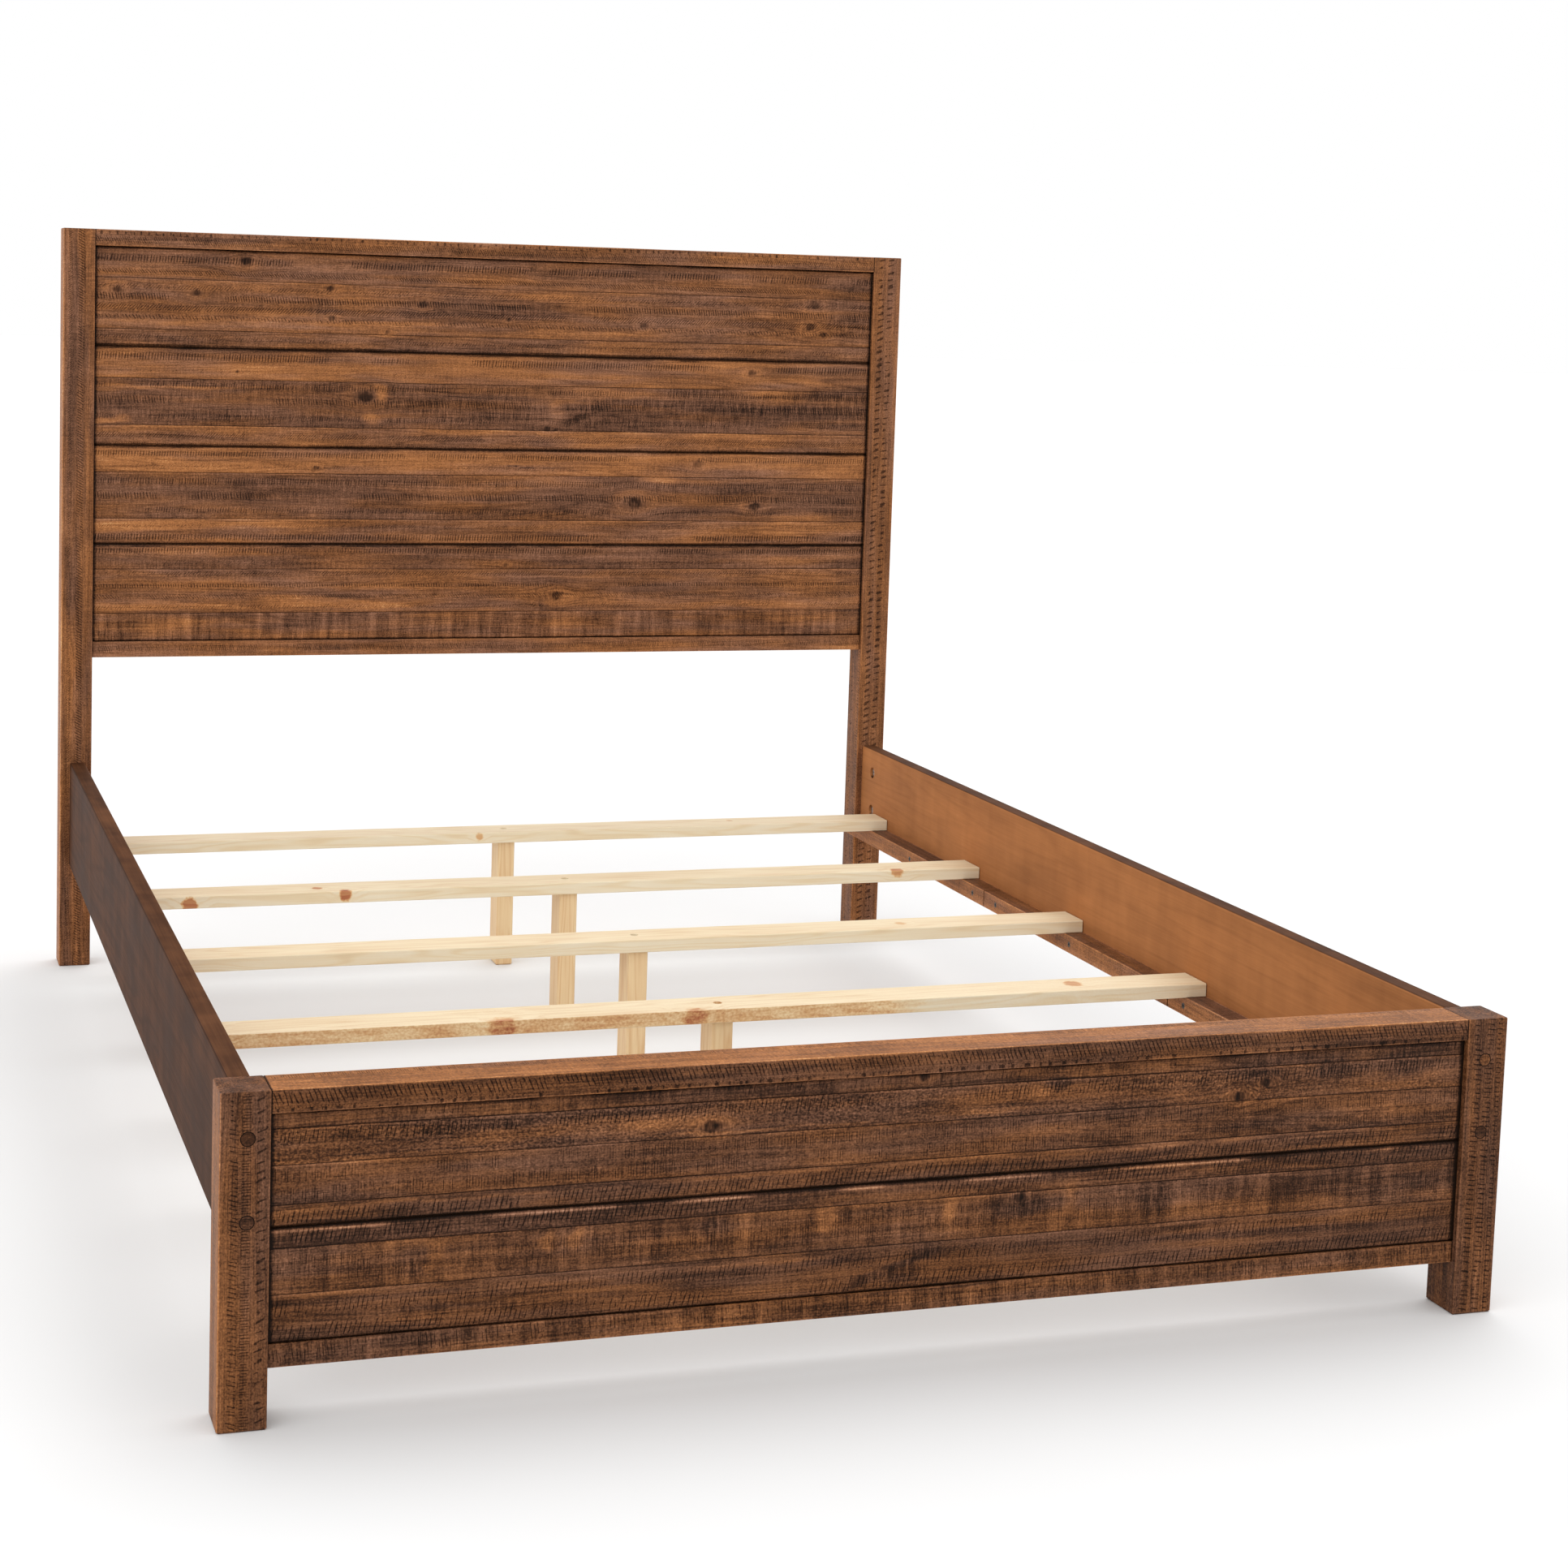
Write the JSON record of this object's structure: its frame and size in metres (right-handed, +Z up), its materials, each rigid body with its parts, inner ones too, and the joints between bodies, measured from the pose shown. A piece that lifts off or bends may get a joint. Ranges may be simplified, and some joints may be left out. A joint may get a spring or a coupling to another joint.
{
  "type": "wooden bed frame",
  "caption": "Slatted bed frame with plank headboard and low plank footboard, bolted side rails, ledgers and centre-legged slats.",
  "frame": {"origin": "on the floor, under the centre of the bed's outer box", "axes": "+X across the bed, +Y from footboard to headboard, +Z up"},
  "size_m": [1.5, 2.04, 1.254],
  "materials": {
    "stained_headboard_wood": "walnut-stained rough-sawn solid wood",
    "stained_footboard_wood": "walnut-stained rough-sawn solid wood, darker",
    "stained_rail_wood": "walnut-stained planed solid wood",
    "pine": "bare planed pine",
    "dowel_beech": "bare beech",
    "zinc_steel": "zinc-plated",
    "dark_screw": "black phosphate"
  },
  "bodies": {
    "bed_frame": {"footboard_bolt_plugs": "stained_footboard_wood", "footboard_bolt_washers": "zinc_steel", "footboard_bottom_rail": "stained_footboard_wood", "footboard_dowels": "dowel_beech", "footboard_plank_lower": "stained_footboard_wood", "footboard_plank_upper": "stained_footboard_wood", "footboard_post_left": "stained_footboard_wood", "footboard_post_right": "stained_footboard_wood", "footboard_rail_bolts": "zinc_steel", "footboard_top_rail": "stained_footboard_wood", "headboard_bolt_plugs": "stained_headboard_wood", "headboard_bolt_washers": "zinc_steel", "headboard_bottom_rail": "stained_headboard_wood", "headboard_dowels": "dowel_beech", "headboard_plank_1": "stained_headboard_wood", "headboard_plank_2": "stained_headboard_wood", "headboard_plank_3": "stained_headboard_wood", "headboard_plank_4": "stained_headboard_wood", "headboard_post_left": "stained_headboard_wood", "headboard_post_right": "stained_headboard_wood", "headboard_rail_bolts": "zinc_steel", "headboard_top_rail": "stained_headboard_wood", "ledger_left_foot": "stained_rail_wood", "ledger_left_head": "stained_rail_wood", "ledger_left_middle": "stained_rail_wood", "ledger_right_foot": "stained_rail_wood", "ledger_right_head": "stained_rail_wood", "ledger_right_middle": "stained_rail_wood", "ledger_screws_left": "dark_screw", "ledger_screws_right": "dark_screw", "rail_nuts_left": "zinc_steel", "rail_nuts_right": "zinc_steel", "side_rail_left": "stained_rail_wood", "side_rail_right": "stained_rail_wood"},
    "slat_unit_1": {"slat_1": "pine", "center_leg_1": "pine", "leg_screw_1": "zinc_steel"},
    "slat_unit_2": {"slat_2": "pine", "center_leg_2": "pine", "leg_screw_2": "zinc_steel"},
    "slat_unit_3": {"slat_3": "pine", "center_leg_3": "pine", "leg_screw_3": "zinc_steel"},
    "slat_unit_4": {"slat_4": "pine", "center_leg_4": "pine", "leg_screw_4": "zinc_steel"},
    "slat_unit_5": {"slat_5": "pine", "center_leg_5": "pine", "leg_screw_5": "zinc_steel"}
  },
  "joints": [
    {"name": "slat_1_lift", "type": "slide", "parent": "bed_frame", "child": "slat_unit_1", "axis": [0, 0, 1], "range_m": [0, 0.16]},
    {"name": "slat_2_lift", "type": "slide", "parent": "bed_frame", "child": "slat_unit_2", "axis": [0, 0, 1], "range_m": [0, 0.16]},
    {"name": "slat_3_lift", "type": "slide", "parent": "bed_frame", "child": "slat_unit_3", "axis": [0, 0, 1], "range_m": [0, 0.16]},
    {"name": "slat_4_lift", "type": "slide", "parent": "bed_frame", "child": "slat_unit_4", "axis": [0, 0, 1], "range_m": [0, 0.16]},
    {"name": "slat_5_lift", "type": "slide", "parent": "bed_frame", "child": "slat_unit_5", "axis": [0, 0, 1], "range_m": [0, 0.16]}
  ]
}
